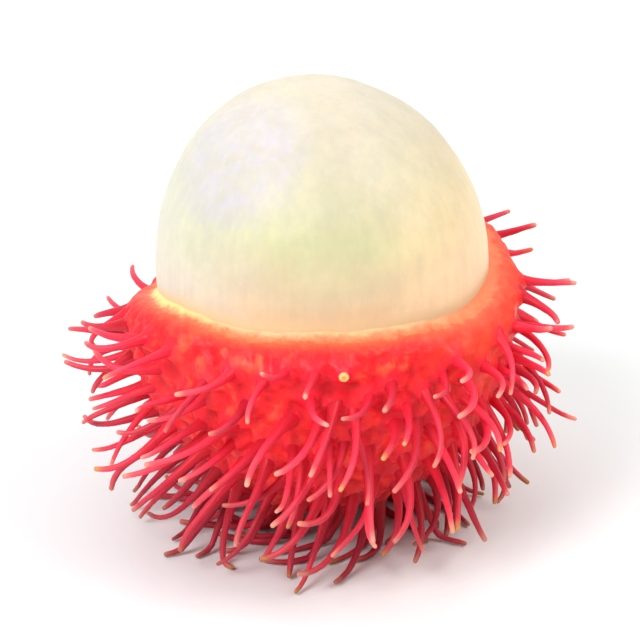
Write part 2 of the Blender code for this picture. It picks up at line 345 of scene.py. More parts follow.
@functools.cache
def spine_lines():
    """The solids' centre lines: even over the rind by the golden angle, curls drawn by seed."""
    draw = random.Random(SPINE_SEED)
    low, high = polar_limits()
    lines = []
    for number in range(SPINE_COUNT):
        share = (number + 0.5) / SPINE_COUNT
        polar = math.acos(low + (high - low) * share) + draw.uniform(-POLAR_JITTER, POLAR_JITTER)
        azimuth = SPIRAL_START + number * GOLDEN_ANGLE + draw.uniform(-AZIMUTH_JITTER, AZIMUTH_JITTER)
        root, normal = rind_point(azimuth, polar)
        lines.append(clearest_spine(draw, root, normal, share, lines))
    return lines


@functools.cache
def all_spine_lines():
    """The solids' spines, and finer ones that fill the widest places between their roots."""
    draw = random.Random(FILLER_SEED)
    low, high = polar_limits()
    lines = list(spine_lines())
    for _ in range(FILLER_COUNT):
        best = None
        for _ in range(FILLER_PLACES):
            share = draw.random()
            polar = math.acos(low + (high - low) * share)
            root, normal = rind_point(draw.uniform(0, math.tau), polar)
            room = min((root - line[1]).length for line in lines)
            if best is None or room > best[0]:
                best = (room, root, normal, share)
        lines.append(clearest_spine(draw, *best[1:], lines))
    return lines


# Building blocks


def grid_mesh(name, points, first, last):
    """A closed mesh from rows of points round an axis, with one point at each end."""
    rows, columns = points.shape[:2]
    vertices = [*points.reshape(-1, 3).tolist(), list(first), list(last)]
    first_index = rows * columns
    faces = []
    for row in range(rows - 1):
        for column in range(columns):
            after = (column + 1) % columns
            here, below = row * columns, (row + 1) * columns
            faces.append((here + column, below + column, below + after, here + after))
    for column in range(columns):
        after = (column + 1) % columns
        bottom = (rows - 1) * columns
        faces.append((first_index, column, after))
        faces.append((first_index + 1, bottom + after, bottom + column))
    mesh = bpy.data.meshes.new(name)
    mesh.from_pydata(vertices, [], faces)
    mesh.update()
    mesh.shade_smooth()
    return mesh


def smooth_mesh(name, shape):
    """A smooth mesh of what has been built up in a bmesh."""
    mesh = bpy.data.meshes.new(name)
    shape.to_mesh(mesh)
    shape.free()
    mesh.shade_smooth()
    return mesh


def write_attribute(mesh, name, values):
    attribute = mesh.attributes.new(name, "FLOAT", "POINT")
    attribute.data.foreach_set("value", np.asarray(values, np.float32))


def new_object(name, data):
    made = bpy.data.objects.new(name, data)
    bpy.context.scene.collection.objects.link(made)
    return made


def place_piece(name, mesh, material, stands_for):
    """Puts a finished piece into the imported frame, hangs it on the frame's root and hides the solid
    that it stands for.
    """
    mesh.transform(Matrix.Translation(fruit_shift()))
    mesh.materials.clear()
    mesh.materials.append(material)
    piece = new_object(name, mesh)
    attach(piece, "root")
    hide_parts(stands_for)


def set_inputs(node, values):
    """Links or sets a node's inputs, given by name or number."""
    for socket, value in values.items():
        if isinstance(value, bpy.types.NodeSocket):
            node.id_data.links.new(value, node.inputs[socket])
        else:
            node.inputs[socket].default_value = value


def add_node(tree, kind, values=None, **settings):
    """A node with its settings and its inputs."""
    made = tree.nodes.new(kind)
    for name, value in settings.items():
        setattr(made, name, value)
    set_inputs(made, values or {})
    return made


def new_material(name):
    """A material with only a Principled shader, its tree and that shader."""
    material = bpy.data.materials.new(name)
    material.use_nodes = True
    return material, material.node_tree, material.node_tree.nodes["Principled BSDF"]


def opaque(colour):
    return (*colour[:3], 1.0)


def mixed(factor, first, second):
    """The output of a colour mix. Each of the two is a socket or a plain colour."""
    values = {0: factor}
    for socket, colour in ((6, first), (7, second)):
        values[socket] = colour if isinstance(colour, bpy.types.NodeSocket) else opaque(colour)
    return add_node(factor.id_data, "ShaderNodeMix", values, data_type="RGBA").outputs[2]


def ranged(value, low, high, to_low=0.0, to_high=1.0):
    """A value brought smoothly from one range to another, and held at its ends."""
    values = {"Value": value, "From Min": low, "From Max": high, "To Min": to_low, "To Max": to_high}
    made = add_node(value.id_data, "ShaderNodeMapRange", values, interpolation_type="SMOOTHSTEP")
    return made.outputs["Result"]


def ramped(factor, settings, *stops):
    """A colour ramp over places, each with the name of its colour in the settings."""
    made = add_node(factor.id_data, "ShaderNodeValToRGB", {"Fac": factor})
    elements = made.color_ramp.elements
    while len(elements) < len(stops):
        elements.new(1.0)
    for element, (place, name) in zip(elements, stops):
        element.position = place
        element.color = opaque(getattr(settings, name))
    return made.outputs["Color"]


def arithmetic(operation, first, second):
    """The output of a sum. At least one of the two is a socket, and the other may be a number."""
    tree = (first if isinstance(first, bpy.types.NodeSocket) else second).id_data
    return add_node(tree, "ShaderNodeMath", {0: first, 1: second}, operation=operation).outputs[0]


def added(first, second):
    return arithmetic("ADD", first, second)


def times(first, second):
    return arithmetic("MULTIPLY", first, second)


def swing(value, reach):
    """Noise from 0 to 1, brought to run over this reach with 0 in its middle."""
    return times(added(value, -0.5), reach)


def surface_value(tree, name):
    return add_node(tree, "ShaderNodeAttribute", attribute_name=name).outputs["Fac"]


def own_place(tree):
    """The place on the piece, and its x and its z."""
    place = add_node(tree, "ShaderNodeTexCoord").outputs["Object"]
    apart = add_node(tree, "ShaderNodeSeparateXYZ", {0: place}).outputs
    return place, apart["X"], apart["Z"]


def noise_value(tree, size, detail, roughness=0.5):
    """Noise whose spots are about this size, in metres, fixed to the piece."""
    place = add_node(tree, "ShaderNodeTexCoord").outputs["Object"]
    values = {"Vector": place, "Scale": 1 / size, "Detail": detail, "Roughness": roughness}
    return add_node(tree, "ShaderNodeTexNoise", values).outputs["Fac"]


def shaded(colour, value):
    """The colour, darker where the value is under 1 and lighter where it is over."""
    values = {"Value": value, "Color": colour}
    return add_node(colour.id_data, "ShaderNodeHueSaturation", values).outputs[0]


def with_painted_underside_shade(colour, height):
    """The colour with painted shade, deeper towards the underside of the fruit."""
    return shaded(colour, ranged(height, PAINTED_SHADE_DEEPEST, PAINTED_SHADE_BELOW, PAINTED_UNDERSIDE_SHADE, 1.0))


def bumped(height, distance, strength):
    values = {"Height": height, "Distance": distance, "Strength": strength}
    return add_node(height.id_data, "ShaderNodeBump", values).outputs[0]


# The rind's skin


def skin_section():
    """The rind's section from the middle of its inside to the scar, as radius, level and run.

    run is the way down the outside from the cut's outer edge. It is under 0 on the cut and inside.
    """
    inner_bottom = ARIL_BOTTOM + SEAT_GAP
    inner_rim = math.acos(-(RIM_LEVEL + LIP_RISE) / inner_bottom)
    rows = []
    for step in range(1, INSIDE_ROWS + 1):
        polar = inner_rim * (1 - (1 - step / INSIDE_ROWS) ** INSIDE_SPACING)
        radius = (ARIL_RADIUS + SEAT_GAP) * math.sin(polar)
        run = -CUT_WIDTH - inner_bottom * (inner_rim - polar)
        rows.append((radius, -inner_bottom * math.cos(polar), run))
    for step in range(1, CUT_ROWS + 1):
        turn = math.pi / 2 * step / CUT_ROWS
        radius = CUT_RADIUS - CUT_WIDTH * math.cos(turn)
        level = RIM_LEVEL + LIP_RISE * (1 - math.sin(turn))
        rows.append((radius, level, CUT_WIDTH * (step / CUT_ROWS - 1)))
    turns = np.linspace(0, math.pi / 2, SHOULDER_SAMPLES)
    shoulder = [RIM_LEVEL - SHOULDER_DROP * (1 - math.cos(turn)) for turn in turns]
    polars = np.linspace(math.acos(-shoulder[-1] / RIND_BOTTOM), 0, BODY_SAMPLES)
    levels = np.array(shoulder + [-RIND_BOTTOM * math.cos(polar) for polar in polars[1:]])
    widths = np.array([outer_width(max(level, -RIND_BOTTOM)) for level in levels])
    runs = np.concatenate(([0], np.cumsum(np.hypot(np.diff(widths), np.diff(levels)))))
    for run in np.arange(SKIN_STEP, runs[-1] - SKIN_STEP / 2, SKIN_STEP):
        rows.append((np.interp(run, runs, widths), np.interp(run, runs, levels), run))
    return np.array(rows)


def scar_relief(radius):
    """The stalk's scar: a raised ring round a pit, as a height above the skin."""
    ring = SCAR_RING_RISE * np.exp(-(((radius - SCAR_RING_RADIUS) / SCAR_RING_WIDTH) ** 2))
    return ring - SCAR_PIT_DEPTH * np.exp(-((radius / SCAR_PIT_RADIUS) ** 2))


def grid_normals(points):
    """Outward normals of rows of points that run round an axis."""
    down = np.gradient(points, axis=0)
    around = np.roll(points, -1, axis=1) - np.roll(points, 1, axis=1)
    normals = np.cross(down, around)
    return normals / np.maximum(np.linalg.norm(normals, axis=2, keepdims=True), 1e-12)


def noise_field(points, size, octaves):
    """Fractal noise at every point, about -1 to 1, with its largest lumps of this size."""
    flat = (points.reshape(-1, 3) / size).tolist()
    values = [noise.fractal(place, LUMP_SMOOTHNESS, LUMP_STEP, octaves) for place in flat]
    return np.array(values).reshape(points.shape[:2])


def nearest_roots(points, lines):
    """The distance to the nearest and the second nearest spine's root, and which is nearest."""
    tree = KDTree(len(lines))
    for index, line in enumerate(lines):
        tree.insert(line[1], index)
    tree.balance()
    found = [tree.find_n(place, 2) for place in points.reshape(-1, 3).tolist()]
    shape = points.shape[:2]
    distances = np.array([[match[2] for match in pair] for pair in found])
    owners = np.array([pair[0][1] for pair in found])
    return distances[:, 0].reshape(shape), distances[:, 1].reshape(shape), owners.reshape(shape)


def eased(value):
    """0 to 1, smoothly, and held outside."""
    value = np.clip(value, 0, 1)
    return value * value * (3 - 2 * value)


def flesh_departure(unit, dents):
    """How far the flesh's surface departs from a true egg, at this place on a unit ball."""
    azimuth = math.atan2(unit.y, unit.x)
    away = math.remainder(azimuth - ARIL_SEAM_AZIMUTH, math.tau) / ARIL_SEAM_WIDTH
    seam = ARIL_SEAM_DEPTH * (unit.x**2 + unit.y**2) * math.exp(-(away**2))
    broad, fine = (noise.noise(unit * size) for size in DENT_SIZES)
    return dents * (broad + FINE_DENTS * fine - DENT_SINK) - seam


def flesh_radius(azimuth, level, dents):
    """The flesh's radius in this direction at this level, without its lean."""
    height = level / (ARIL_TOP if level > 0 else ARIL_BOTTOM)
    flat = math.sqrt(1 - height**2)
    unit = Vector((flat * math.cos(azimuth), flat * math.sin(azimuth), height))
    return flat * (ARIL_RADIUS + flesh_departure(unit, dents))


def seat_width(level):
    """The radius of the hollow that the flesh sits in, at these levels."""
    below = np.minimum(level, 0) / (ARIL_BOTTOM + SEAT_GAP)
    return (ARIL_RADIUS + SEAT_GAP) * np.sqrt(np.maximum(0, 1 - below**2))


def lip_radius(radius, level, run, azimuth, dents):
    """The radius of the inner wall and the cut, which close on the flesh where they meet."""
    radius = np.where(run <= -CUT_WIDTH, seat_width(level), radius)
    tops = np.array([RIM_LEVEL + LIP_RISE + rim_offset(turn) for turn in azimuth[0]])
    snug = np.array([flesh_radius(turn, top, dents) for turn, top in zip(azimuth[0], tops)])
    closing = eased(1 - np.maximum(-run - CUT_WIDTH, 0) / LIP_DEPTH)
    crossing = np.clip(-run / CUT_WIDTH, 0, 1)
    gap = seat_width(tops) + LIP_BITE - snug
    return radius - gap[None, :] * closing * crossing


def skin_mesh(settings, lines, dents):
    """The whole rind without its spines, with mounds that lean the way their spines leave."""
    section = skin_section()
    radius, level, run = (section[:, column, None] for column in range(3))
    azimuth = np.arange(SKIN_SIDES)[None, :] * math.tau / SKIN_SIDES
    level = np.vectorize(slid)(azimuth, level)
    radius = lip_radius(radius, level, run, azimuth, dents)
    points = np.stack((radius * np.cos(azimuth), radius * np.sin(azimuth), CENTRE_HEIGHT + level), axis=2)
    outside = eased(run / MOUND_START)
    on_scar = eased(2 - radius / SCAR_EDGE_RADIUS) * (run > SCAR_RUN)
    nearest, second, owner = nearest_roots(points, lines)
    mound = settings.mound_height * np.exp(-((nearest / settings.mound_width) ** 2)) * outside
    headings = np.array([(line[2] - line[0]).normalized() for line in lines])
    furrow = np.exp(-(((second - nearest) / settings.furrow_width) ** 2))
    lumps = noise_field(points, settings.lump_size, 3)
    relief = settings.lump_height * lumps - settings.furrow_depth * furrow
    relief = relief * (1 - SCAR_SMOOTHING * on_scar) * outside + on_scar * scar_relief(radius)
    near_cut = np.exp(-((run / (2 * CUT_WIDTH)) ** 2))
    ragged = CUT_RAGGEDNESS * noise_field(points, CUT_RAGGED_SIZE, 3) * near_cut
    points = points + grid_normals(points) * relief[:, :, None] + headings[owner] * mound[:, :, None]
    points[:, :, 2] += ragged
    inside_end = (0, 0, CENTRE_HEIGHT - ARIL_BOTTOM - SEAT_GAP)
    scar_end = (0, 0, CENTRE_HEIGHT - RIND_BOTTOM - scar_relief(0.0))
    mesh = grid_mesh("rind_skin", points, inside_end, scar_end)
    run = np.broadcast_to(run, nearest.shape)
    scar = np.where(run > SCAR_RUN, radius, 1.0)
    for name, values, ends in (
        ("run", run / MM, (-20.0, 40.0)),
        ("root", nearest / MM, (9.0, 9.0)),
        ("relief", lumps - 0.5 * furrow, (0.0, 0.0)),
        ("scar", scar / MM, (1000.0, 0.0)),
    ):
        write_attribute(mesh, name, np.append(values, ends))
    return mesh


def reds_with_painted_relief_light(tree, settings, spots):
    """The skin's reds: a random tone, with painted light where the skin is raised and painted shade where
    it is low.
    """
    broad = noise_value(tree, 5.0 * MM, 2.0)
    height = added(surface_value(tree, "relief"), swing(broad, 1.6))
    height = added(height, swing(spots, 0.9))
    reds = (0.0, "deep_red"), (0.38, "red"), (0.62, "red"), (1.0, "orange_red")
    return ramped(ranged(height, -0.75, 0.75), settings, *reds)


def with_cut(tree, settings, skin, run, spots, left, right):
    """The skin with the colours of the cut's edge, the smooth shoulder below it and the inside."""
    fibres = noise_value(tree, 0.5 * MM, 3.0)
    wobble = added(swing(spots, 1.2), swing(fibres, 0.5))
    wider = added(1.0, times(right, -0.28))
    smooth_run = times(added(run, CUT_WIDTH / MM), wider)
    below_cut = added(smooth_run, wobble)
    edge_wobble = added(times(wobble, 0.5), times(left, -0.2))
    edge_run = added(smooth_run, edge_wobble)
    edge = mixed(left, settings.cut_edge, settings.cut_cream)
    edge = mixed(right, edge, settings.peach)
    oranges = (0.06, "peach"), (0.2, "orange"), (0.42, "orange_red"), (1.0, "red")
    shoulder = ramped(ranged(below_cut, *SHOULDER_RUN), settings, *oranges)
    shoulder = mixed(ranged(edge_run, *EDGE_RUN), shoulder, edge)
    skin = mixed(ranged(below_cut, *SKIN_RUN), shoulder, skin)
    return mixed(ranged(run, *INSIDE_RUN), skin, settings.inside)


def with_scar(tree, settings, skin, spots):
    """The skin with the colours of the stalk's scar: a dark pit in a brown ring."""
    scar = surface_value(tree, "scar")
    speckled = ranged(added(scar, swing(spots, 1.0)), *SCAR_COLOURS)
    browns = ramped(speckled, settings, (0.2, "scar_pit"), (0.36, "scar_ring"))
    return mixed(ranged(scar, *SCAR_BORDER), skin, browns)


def skin_material(settings):
    """Pebbled red skin, orange towards the cut, cream on it, and pale inside, with painted light and
    shade: on its relief, round the spines' feet, on the right below the cut and towards the underside.
    """
    material, tree, shader = new_material("rind_skin")
    _, side, height = own_place(tree)
    left = ranged(side, -0.3 * RIND_RADIUS, -0.85 * RIND_RADIUS)
    right = ranged(side, 0.35 * RIND_RADIUS, 0.9 * RIND_RADIUS)
    run = surface_value(tree, "run")
    spots = noise_value(tree, 1.1 * MM, 4.0, 0.6)
    skin = reds_with_painted_relief_light(tree, settings, spots)
    # Painted light: on the right, below the cut, the skin is turned lighter towards orange red.
    right_painted_light = times(right, ranged(run, *RIGHT_LIGHT_RUN, 0.0, 0.85))
    skin = mixed(right_painted_light, skin, settings.orange_red)
    # Painted shade: crimson round each spine's foot, where the spine meets the skin.
    root_painted_shade = ranged(surface_value(tree, "root"), *ROOT_REACH, 0.0, 0.85)
    skin = mixed(root_painted_shade, skin, settings.crimson)
    skin = with_cut(tree, settings, skin, run, spots, left, right)
    skin = with_scar(tree, settings, skin, spots)
    grain = added(noise_value(tree, 0.45 * MM, 3.0, 0.6), times(spots, 0.6))
    finish = {
        "Base Color": with_painted_underside_shade(skin, height),
        "Roughness": ranged(spots, 0.3, 0.7, 0.36, 0.52),
        "Normal": bumped(grain, 0.10 * MM, 0.8),
        "Specular IOR Level": 0.25,
        "Subsurface Weight": ranged(run, -0.4, 0.4, 0.0, 0.25),
        "Subsurface Radius": (1.0, 0.35, 0.25),
        "Subsurface Scale": 1.2 * MM,
    }
    set_inputs(shader, finish)
    return material


# The spines


def spine_radius(share):
    """A spine's radius at this share of its length: a flared foot and a slowly narrowing shaft."""
    width = (1 - share) ** SPINE_NARROWING
    shaft = SPINE_TIP_RADIUS + (SPINE_NECK_RADIUS - SPINE_TIP_RADIUS) * width
    return shaft + SPINE_FLARE * math.exp(-share / SPINE_FLARE_SHARE)


def along(line, share):
    """The point at this share of a centre line's free length."""
    place = 1 + share * (len(line) - 2)
    before = min(int(place), len(line) - 2)
    return line[before].lerp(line[before + 1], place - before)


def spine_stations(length):
    """Shares of a spine's length where it has a ring, each with the ring's radius."""
    stations = []
    tip_radius = spine_radius(1.0)
    round_from = 1 - tip_radius / length
    for step in range(SPINE_RINGS):
        share = round_from * (step / SPINE_RINGS) ** SPINE_RING_SPACING
        stations.append((share, spine_radius(share)))
    for turn in SPINE_TIP_TURNS:
        share = round_from + (1 - round_from) * math.sin(turn)
        stations.append((share, tip_radius * math.cos(turn)))
    return stations


def spine_guides(lines):
    """Edges along every whole spine, with the radius, share and tint that its points have."""
    draw = random.Random(SPINE_TINT_SEED)
    vertices, edges, radii, shares, tints = [], [], [], [], []
    for number, line in enumerate(lines):
        tint = draw.random()
        thickness = draw.uniform(*SPINE_THICKNESS)
        if number == SNAPPED_SPINE:
            continue
        length = sum((line[k + 1] - line[k]).length for k in range(1, len(line) - 1))
        first = len(vertices)
        for share, radius in [(None, spine_radius(0.0)), *spine_stations(length)]:
            vertices.append(line[0] if share is None else along(line, share))
            radii.append(radius * thickness)
            shares.append(share or 0.0)
            tints.append(tint)
        edges += [(index, index + 1) for index in range(first, len(vertices) - 1)]
    mesh = bpy.data.meshes.new("spine_guides")
    mesh.from_pydata(vertices, edges, [])
    for name, values in (("spine_radius", radii), ("spine_share", shares), ("spine_tint", tints)):
        write_attribute(mesh, name, values)
    return mesh


def spine_tree():
    """Geometry Nodes that turn guide edges into round, slightly uneven spines."""
    tree = bpy.data.node_groups.new("spines along guides", "GeometryNodeTree")
    face = tree.interface
    face.new_socket("Guides", in_out="INPUT", socket_type="NodeSocketGeometry")
    for name, kind in (
        ("Thickness", "NodeSocketFloat"),
        ("Sides", "NodeSocketInt"),
        ("Unevenness", "NodeSocketFloat"),
        ("Lump size", "NodeSocketFloat"),
        ("Seed", "NodeSocketFloat"),
        ("Finish", "NodeSocketMaterial"),
    ):
        face.new_socket(name, in_out="INPUT", socket_type=kind)
    face.new_socket("Spines", in_out="OUTPUT", socket_type="NodeSocketGeometry")
    given = tree.nodes.new("NodeGroupInput").outputs
    guide = add_node(tree, "GeometryNodeMeshToCurve", {"Mesh": given["Guides"]}).outputs[0]
    radius = add_node(
        tree, "GeometryNodeInputNamedAttribute", {"Name": "spine_radius"}, data_type="FLOAT"
    ).outputs["Attribute"]
    circle = {"Resolution": given["Sides"], "Radius": 1.0}
    ring = add_node(tree, "GeometryNodeCurvePrimitiveCircle", circle, mode="RADIUS").outputs[0]
    sweep = {
        "Curve": guide,
        "Profile Curve": ring,
        "Scale": times(radius, given["Thickness"]),
        "Fill Caps": True,
    }
    spines = add_node(tree, "GeometryNodeCurveToMesh", sweep).outputs[0]
    bulging = {
        "Vector": add_node(tree, "GeometryNodeInputPosition").outputs[0],
        "W": given["Seed"],
        "Scale": arithmetic("DIVIDE", 1.0, given["Lump size"]),
    }
    lumps = add_node(tree, "ShaderNodeTexNoise", bulging, noise_dimensions="4D").outputs["Fac"]
    push = {
        0: add_node(tree, "GeometryNodeInputNormal").outputs["Normal"],
        "Scale": swing(lumps, given["Unevenness"]),
    }
    offset = add_node(tree, "ShaderNodeVectorMath", push, operation="SCALE").outputs[0]
    for kind, values in (
        ("GeometryNodeSetPosition", {"Offset": offset}),
        ("GeometryNodeSetShadeSmooth", {}),
        ("GeometryNodeRealizeInstances", {}),
        ("GeometryNodeSetMaterial", {"Material": given["Finish"]}),
    ):
        spines = add_node(tree, kind, {"Geometry": spines, **values}).outputs[0]
    add_node(tree, "NodeGroupOutput", {"Spines": spines})
    return tree


def grown(guides, tree, inputs):
    """The tree's result on the guides, as a plain mesh."""
    holder = new_object("guides", guides)
    modifier = holder.modifiers.new("grow", "NODES")
    modifier.node_group = tree
    for item in tree.interface.items_tree:
        if item.in_out == "INPUT" and item.name in inputs:
            modifier[item.identifier] = inputs[item.name]
    graph = bpy.context.evaluated_depsgraph_get()
    mesh = bpy.data.meshes.new_from_object(holder.evaluated_get(graph))
    holder.modifiers.clear()
    bpy.data.objects.remove(holder)
    return mesh


def press_flat(mesh):
    """Flattens whatever would reach below the surface that the fruit stands on."""
    surface = -fruit_shift().z
    for vertex in mesh.vertices:
        vertex.co.z = max(vertex.co.z, surface)


def spine_material(settings):
    """Soft crimson-pink spines, pale at the tip; dark at the foot, partly their own colour and partly
    painted shade; and with painted shade towards the underside.
    """
    material, tree, shader = new_material("rind_spines")
    _, _, height = own_place(tree)
    tint = surface_value(tree, "spine_tint")
    spots = noise_value(tree, 1.6 * MM, 3.0)
    share = added(surface_value(tree, "spine_share"), swing(spots, 0.25))
    # The dark foot and lower shaft are partly painted shade where the spine leaves the skin.
    pinks = (0.0, "foot"), (0.22, "shaft_low"), (0.6, "shaft"), (0.86, "shaft_high")
    greener = added(tint, ranged(height, *GREENER_BELOW, 0.0, 0.35))
    tip = mixed(ranged(greener, 0.80, 0.97), settings.tip, settings.tip_green)
    colour = mixed(ranged(share, *TIP_SHARES), ramped(share, settings, *pinks), tip)
    colour = shaded(colour, ranged(tint, 0.0, 0.6, 0.70, 1.0))
    grain = noise_value(tree, 0.5 * MM, 3.0, 0.6)
    finish = {
        "Base Color": with_painted_underside_shade(colour, height),
        "Roughness": ranged(spots, 0.3, 0.7, 0.34, 0.48),
        "Normal": bumped(grain, 0.06 * MM, 0.7),
        "Specular IOR Level": 0.22,
        "Subsurface Weight": 0.18,
        "Subsurface Radius": (1.0, 0.35, 0.3),
        "Subsurface Scale": 0.5 * MM,
    }
    set_inputs(shader, finish)
    return material


# The flesh


def flesh_mesh(settings):
    """The flesh as a fine egg, with its shallow seam and very faint dents."""
    shape = bmesh.new()
    bmesh.ops.create_uvsphere(shape, u_segments=ARIL_SEGMENTS, v_segments=ARIL_RINGS, radius=1)
    for vertex in shape.verts:
        departure = flesh_departure(vertex.co, settings.dents)
        half_height = ARIL_TOP if vertex.co.z > 0 else ARIL_BOTTOM
        lean = ARIL_LEAN * max(0.0, vertex.co.z) ** 2
        vertex.co.x = vertex.co.x * (ARIL_RADIUS + departure) - lean
        vertex.co.y *= ARIL_RADIUS + departure
        vertex.co.z = CENTRE_HEIGHT + vertex.co.z * (half_height + departure)
    mesh = smooth_mesh("aril_flesh", shape)
    lip = CENTRE_HEIGHT + RIM_LEVEL + LIP_RISE
    places = [vertex.co for vertex in mesh.vertices]
    above = [place.z - lip - rim_offset(math.atan2(place.y, place.x)) for place in places]
    write_attribute(mesh, "above_lip", np.array(above) / MM)
    return mesh


def flesh_fibres(tree, place):
    """Noise drawn out upwards, like the fibres in the flesh."""
    scale = (1 / FIBRE_WIDTH, 1 / FIBRE_WIDTH, 1 / FIBRE_LENGTH)
    squeezed = add_node(tree, "ShaderNodeVectorMath", {0: place, 1: scale}, operation="MULTIPLY")
    values = {"Vector": squeezed.outputs[0], "Scale": 1.0, "Detail": 3.0}
    return add_node(tree, "ShaderNodeTexNoise", values).outputs["Fac"]


def painted_flesh_highlight(tree, place, threads):
    """How strongly the painted highlight lies here: a whitish patch for the lamps' soft reflection,
    wrinkled, and ragged at its border.
    """
    away = add_node(tree, "ShaderNodeVectorMath", {0: place, 1: HIGHLIGHT_PLACE}, operation="DISTANCE")
    away = added(away.outputs["Value"], swing(threads, 6 * MM))
    painted_highlight = ranged(away, HIGHLIGHT_REACH, 0.55 * HIGHLIGHT_REACH, 0.0, 0.95)
    fine = ranged(noise_value(tree, 0.9 * MM, 4.0, 0.6), 0.35, 0.6, 0.55, 1.0)
    return times(painted_highlight, times(ranged(threads, 0.35, 0.65, 0.6, 1.1), fine))


def flesh_material(settings):
    """Moist cream-white flesh that light goes a little way into, with painted warm light low down on the
    right.
    """
    material, tree, shader = new_material("aril_flesh")
    place, side, height = own_place(tree)
    above_lip = surface_value(tree, "above_lip")
    clouds = noise_value(tree, 9 * MM, 4.0, 0.55)
    threads = noise_value(tree, 2.2 * MM, 5.0, 0.6)
    fibres = flesh_fibres(tree, place)
    painted_highlight = painted_flesh_highlight(tree, place, threads)
    drift = swing(clouds, 8 * MM)
    bottom, crown = CENTRE_HEIGHT + RIM_LEVEL - 3 * MM, CENTRE_HEIGHT + ARIL_TOP
    # Towards the cut the creams turn warm, partly as painted red light bounced from the rind.
    creams = (0.0, "rim"), (0.22, "low"), (0.5, "middle"), (1.0, "top")
    colour = ramped(ranged(added(height, drift), bottom, crown), settings, *creams)
    side = added(side, drift)
    # Painted reflection: the left side is turned a cooler, whiter cream for the lamps' soft reflection.
    left_painted_reflection = ranged(side, -0.2 * ARIL_RADIUS, -0.9 * ARIL_RADIUS, 0.0, 0.7)
    colour = mixed(left_painted_reflection, colour, settings.left_painted_reflection)
    # Painted warm light: low down on the right the flesh is turned warmer and lighter.
    lower = ranged(height, crown, CENTRE_HEIGHT, 0.1, 0.85)
    right_painted_warm_light = times(ranged(side, 0.15 * ARIL_RADIUS, 0.9 * ARIL_RADIUS), lower)
    colour = mixed(right_painted_warm_light, colour, settings.right_painted_warm_light)
    # Painted highlight: a whitish patch on the upper left for the lamps' soft reflection.
    colour = mixed(painted_highlight, colour, settings.painted_highlight)
    along_fibres = ranged(fibres, 0.3, 0.7, 0.98, 1.03)
    mottle = times(ranged(threads, 0.35, 0.65, 0.97, 1.03), along_fibres)
    colour = shaded(colour, mottle)
    # Painted light: a lighter, warmer band along the lip, laid over the shade of the crease where the
    # rind touches the flesh.
    colour = mixed(ranged(above_lip, LIP_BAND, 0.0), colour, settings.lip_painted_light)
    coat = added(clouds, times(fibres, 0.12))
    coat = added(coat, times(painted_highlight, 0.4))
    finish = {
        "Base Color": colour,
        "Roughness": ranged(threads, 0.3, 0.7, 0.48, 0.60),
        "Specular IOR Level": 0.35,
        "Subsurface Weight": ranged(above_lip, 0.0, LIP_BAND, 0.2, 1.0),
        "Subsurface Radius": (1.0, 0.7, 0.4),
        "Subsurface Scale": 5.0 * MM,
        "Coat Weight": 0.30,
        "Coat Roughness": 0.46,
        "Coat Normal": bumped(coat, 0.30 * MM, 0.5),
    }
    set_inputs(shader, finish)
    return material


# The stump of the snapped spine


def stump_mesh(line):
    """A spine snapped off short: its flared foot and a rough, slightly domed end."""
    root, heading = line[1], (line[3] - line[1]).normalized()
    turn = heading.to_track_quat("Z", "Y").to_matrix()
    rings = []
    for share in np.linspace(-STUMP_SUNK, 1, STUMP_RINGS):
        rings.append((share * STUMP_HEIGHT, spine_radius(max(share, 0) * STUMP_TAPER)))
    end_radius = rings[-1][1]
    for share in STUMP_END_RINGS:
        rings.append((STUMP_HEIGHT + STUMP_DOME * (1 - share**2), end_radius * share))
    shape = bmesh.new()
    previous = None
    for height, radius in rings:
        ring = []
        for side in range(STUMP_SIDES):
            angle = math.tau * side / STUMP_SIDES
            place = Vector((radius * math.cos(angle), radius * math.sin(angle), height))
            if height >= STUMP_HEIGHT:
                place.z += STUMP_ROUGHNESS * noise.noise(place / STUMP_GRAIN)
            ring.append(shape.verts.new(root + turn @ place))
        if previous:
            for side in range(STUMP_SIDES):
                after = (side + 1) % STUMP_SIDES
                shape.faces.new((previous[side], previous[after], ring[after], ring[side]))
        previous = ring
    shape.faces.new(previous)
    mesh = smooth_mesh("snapped_spine", shape)
    steps = [vertex.co - root for vertex in mesh.vertices]
    heights = [step.dot(heading) for step in steps]
    widths = [(step - heading * height).length for step, height in zip(steps, heights)]
    write_attribute(mesh, "stump_share", np.array(heights) / STUMP_HEIGHT)
    write_attribute(mesh, "stump_width", np.array(widths) / end_radius)
    return mesh


def stump_material(settings):
    """The stump: red like the skin at its foot, and pale yellow where it snapped."""
    material, tree, shader = new_material("rind_stump")
    spots = noise_value(tree, 0.5 * MM, 3.0)
    share = added(surface_value(tree, "stump_share"), swing(spots, 0.3))
    width = added(surface_value(tree, "stump_width"), swing(spots, 0.5))
    end = mixed(ranged(width, 0.15, 0.6), settings.snapped_middle, settings.snapped)
    finish = {
        "Base Color": mixed(ranged(share, *TIP_SHARES), settings.shaft_low, end),
        "Roughness": 0.5,
        "Normal": bumped(spots, 0.08 * MM, 0.8),
        "Subsurface Weight": 0.3,
        "Subsurface Radius": (1.0, 0.45, 0.3),
        "Subsurface Scale": 0.8 * MM,
    }
    set_inputs(shader, finish)
    return material


# The stage


def direction(azimuth, elevation):
    """A unit vector towards a place in the studio. Azimuth 0 is in front, and 90 on the right."""
    turn, rise = math.radians(azimuth), math.radians(elevation)
    return Vector((math.sin(turn) * math.cos(rise), -math.cos(turn) * math.cos(rise), math.sin(rise)))


def aimed(name, data, place, target):
    """A lamp or camera at this place, turned to the target."""
    thing = new_object(name, data)
    thing.location = place
    thing.rotation_euler = (target - place).to_track_quat("-Z", "Y").to_euler()
    return thing


